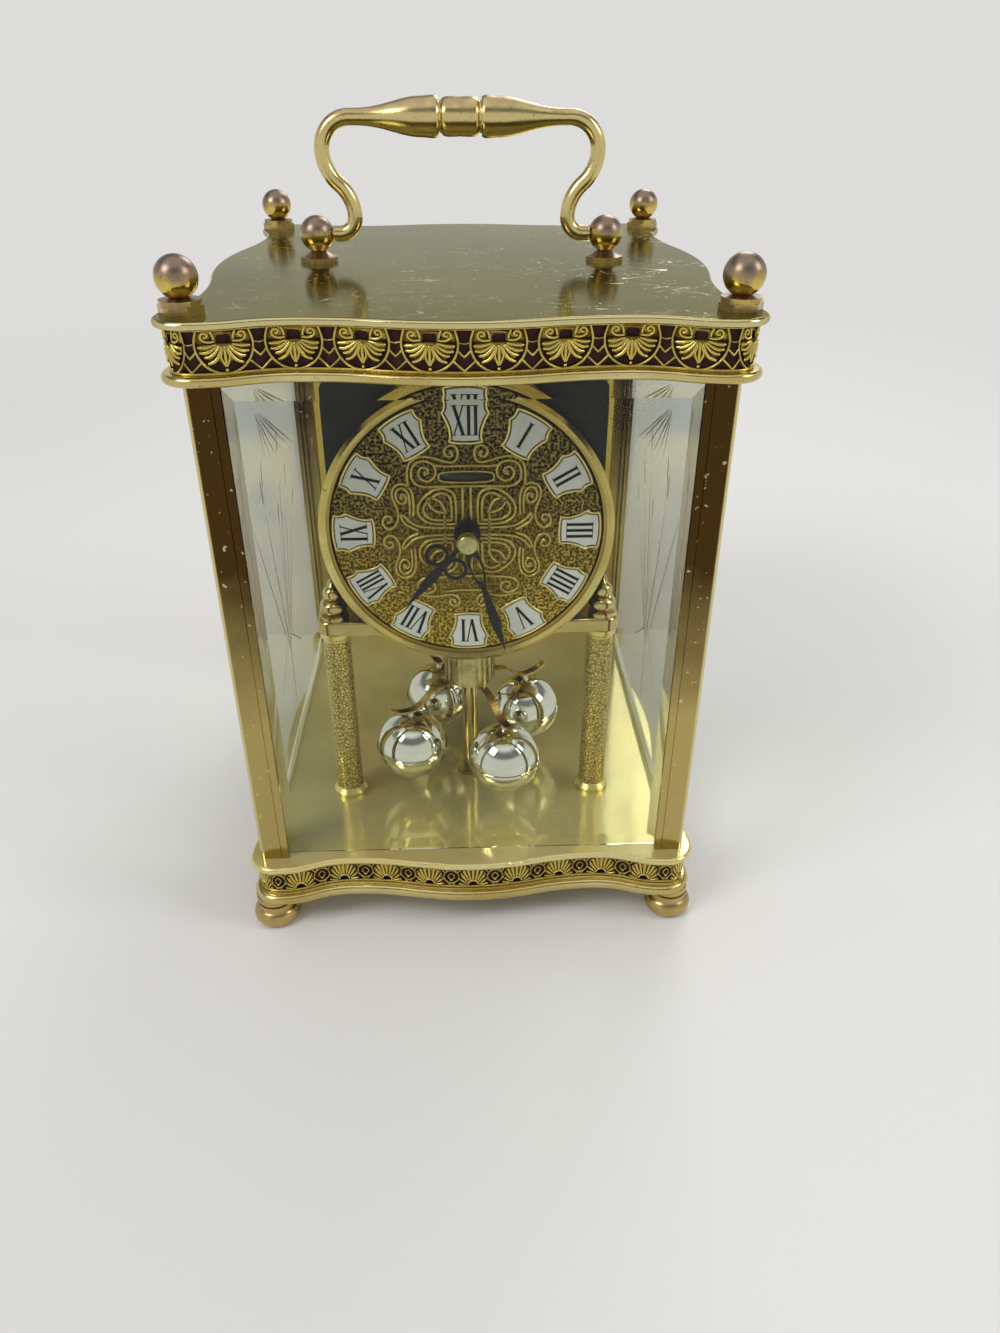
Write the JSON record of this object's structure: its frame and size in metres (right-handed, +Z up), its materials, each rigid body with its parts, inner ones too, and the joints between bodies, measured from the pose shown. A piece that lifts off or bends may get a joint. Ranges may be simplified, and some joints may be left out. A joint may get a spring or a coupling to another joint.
{
  "type": "desk pendulum clock",
  "caption": "Brass four-glass desk clock: serpentine plates, pierced galleries, folding handle, round dial on a columned stand, rotating ball pendulum.",
  "frame": {"origin": "on the surface that the feet stand on, under the middle of the case", "axes": "+Z up, +X to the right of someone who faces the dial, +Y from the dial to the rear door"},
  "size_m": [0.1494, 0.172, 0.2422],
  "materials": {
    "top_plate": "brushed, dulled",
    "rim_brass": "polished, slightly worn",
    "pierced_brass": "antique gold",
    "liner": "dark maroon lining",
    "polished_brass": "polished",
    "door_brass": "polished sheet",
    "clear_glass": "clear, bevelled, sides cut with a fan",
    "textured_brass": "fine cast texture",
    "stand_brass": "polished",
    "steel": "plated",
    "black_plastic": "fine grain",
    "battery_sleeve": "printed sleeve, plain",
    "dial": "stippled antique gold",
    "dial_rim": "polished",
    "plaque_white": "white enamel paint",
    "black_metal": "satin black",
    "hub_brass": "dark polished",
    "ball_chrome": "mirror"
  },
  "bodies": {
    "case": {"base_frieze_back": "pierced_brass", "base_frieze_front": "pierced_brass", "base_frieze_left": "pierced_brass", "base_frieze_right": "pierced_brass", "base_liner": "liner", "base_lower_plate": "rim_brass", "base_upper_plate": "rim_brass", "battery": "battery_sleeve", "battery_contacts": "steel", "centre_nut": "black_metal", "column_finials": "stand_brass", "column_left": "textured_brass", "column_right": "textured_brass", "column_screws": "steel", "corner_finial_back_left": "polished_brass", "corner_finial_back_right": "polished_brass", "corner_finial_front_left": "polished_brass", "corner_finial_front_right": "polished_brass", "dial_plate": "dial", "dial_rim": "dial_rim", "door_pins": "polished_brass", "feet": "polished_brass", "front_glass": "clear_glass", "gallery_back": "pierced_brass", "gallery_front": "pierced_brass", "gallery_left": "pierced_brass", "gallery_liner": "liner", "gallery_lower_plate": "rim_brass", "gallery_right": "pierced_brass", "guide_post": "stand_brass", "handle_finial_left": "polished_brass", "handle_finial_right": "polished_brass", "handle_nuts": "polished_brass", "left_glass": "clear_glass", "movement_case": "black_plastic", "numeral_plaques": "plaque_white", "platform": "stand_brass", "post_back_left": "polished_brass", "post_back_right": "polished_brass", "post_front_left": "polished_brass", "post_front_right": "polished_brass", "right_glass": "clear_glass", "tie_rods": "polished_brass", "top_plate": "top_plate"},
    "carrying_handle": {"handle": "polished_brass"},
    "door": {"back_door": "door_brass", "door_knob": "polished_brass"},
    "hour": {"hour_hand": "black_metal", "hour_pipe": "steel"},
    "minute": {"minute_hand": "black_metal", "minute_arbor": "steel", "hand_cap": "polished_brass"},
    "setting": {"set_knob": "black_plastic"},
    "pendulum": {"pendulum_spindle": "steel", "pendulum_hub": "hub_brass", "pendulum_arms": "stand_brass", "pendulum_ball_back_left": "ball_chrome", "pendulum_ball_back_right": "ball_chrome", "pendulum_ball_front_left": "ball_chrome", "pendulum_ball_front_right": "ball_chrome"}
  },
  "joints": [
    {"name": "handle_swing", "type": "hinge", "parent": "case", "child": "carrying_handle", "pos_m": [0, 0, 0.2063], "axis": [1, 0, 0], "range_deg": [-90, 90]},
    {"name": "door_swing", "type": "hinge", "parent": "case", "child": "door", "pos_m": [-0.0617, 0.075, 0.10565], "axis": [0, 0, 1], "range_deg": [0, 110]},
    {"name": "minute_turn", "type": "hinge", "parent": "case", "child": "minute", "pos_m": [0, -0.0541, 0.1302], "axis": [0, 1, 0], "continuous": true},
    {"name": "hour_turn", "type": "hinge", "parent": "case", "child": "hour", "pos_m": [0, -0.0519, 0.1302], "axis": [0, 1, 0], "continuous": true},
    {"name": "set_turn", "type": "hinge", "parent": "case", "child": "setting", "pos_m": [0, -0.0086, 0.1162], "axis": [0, 1, 0], "continuous": true},
    {"name": "pendulum_turn", "type": "hinge", "parent": "case", "child": "pendulum", "pos_m": [0, -0.028, 0.068], "axis": [0, 0, 1], "range_deg": [-180, 180]}
  ],
  "couplings": [
    {"joint": "hour_turn", "follows": "minute_turn", "ratio": 0.083333},
    {"joint": "set_turn", "follows": "minute_turn", "ratio": 1}
  ]
}
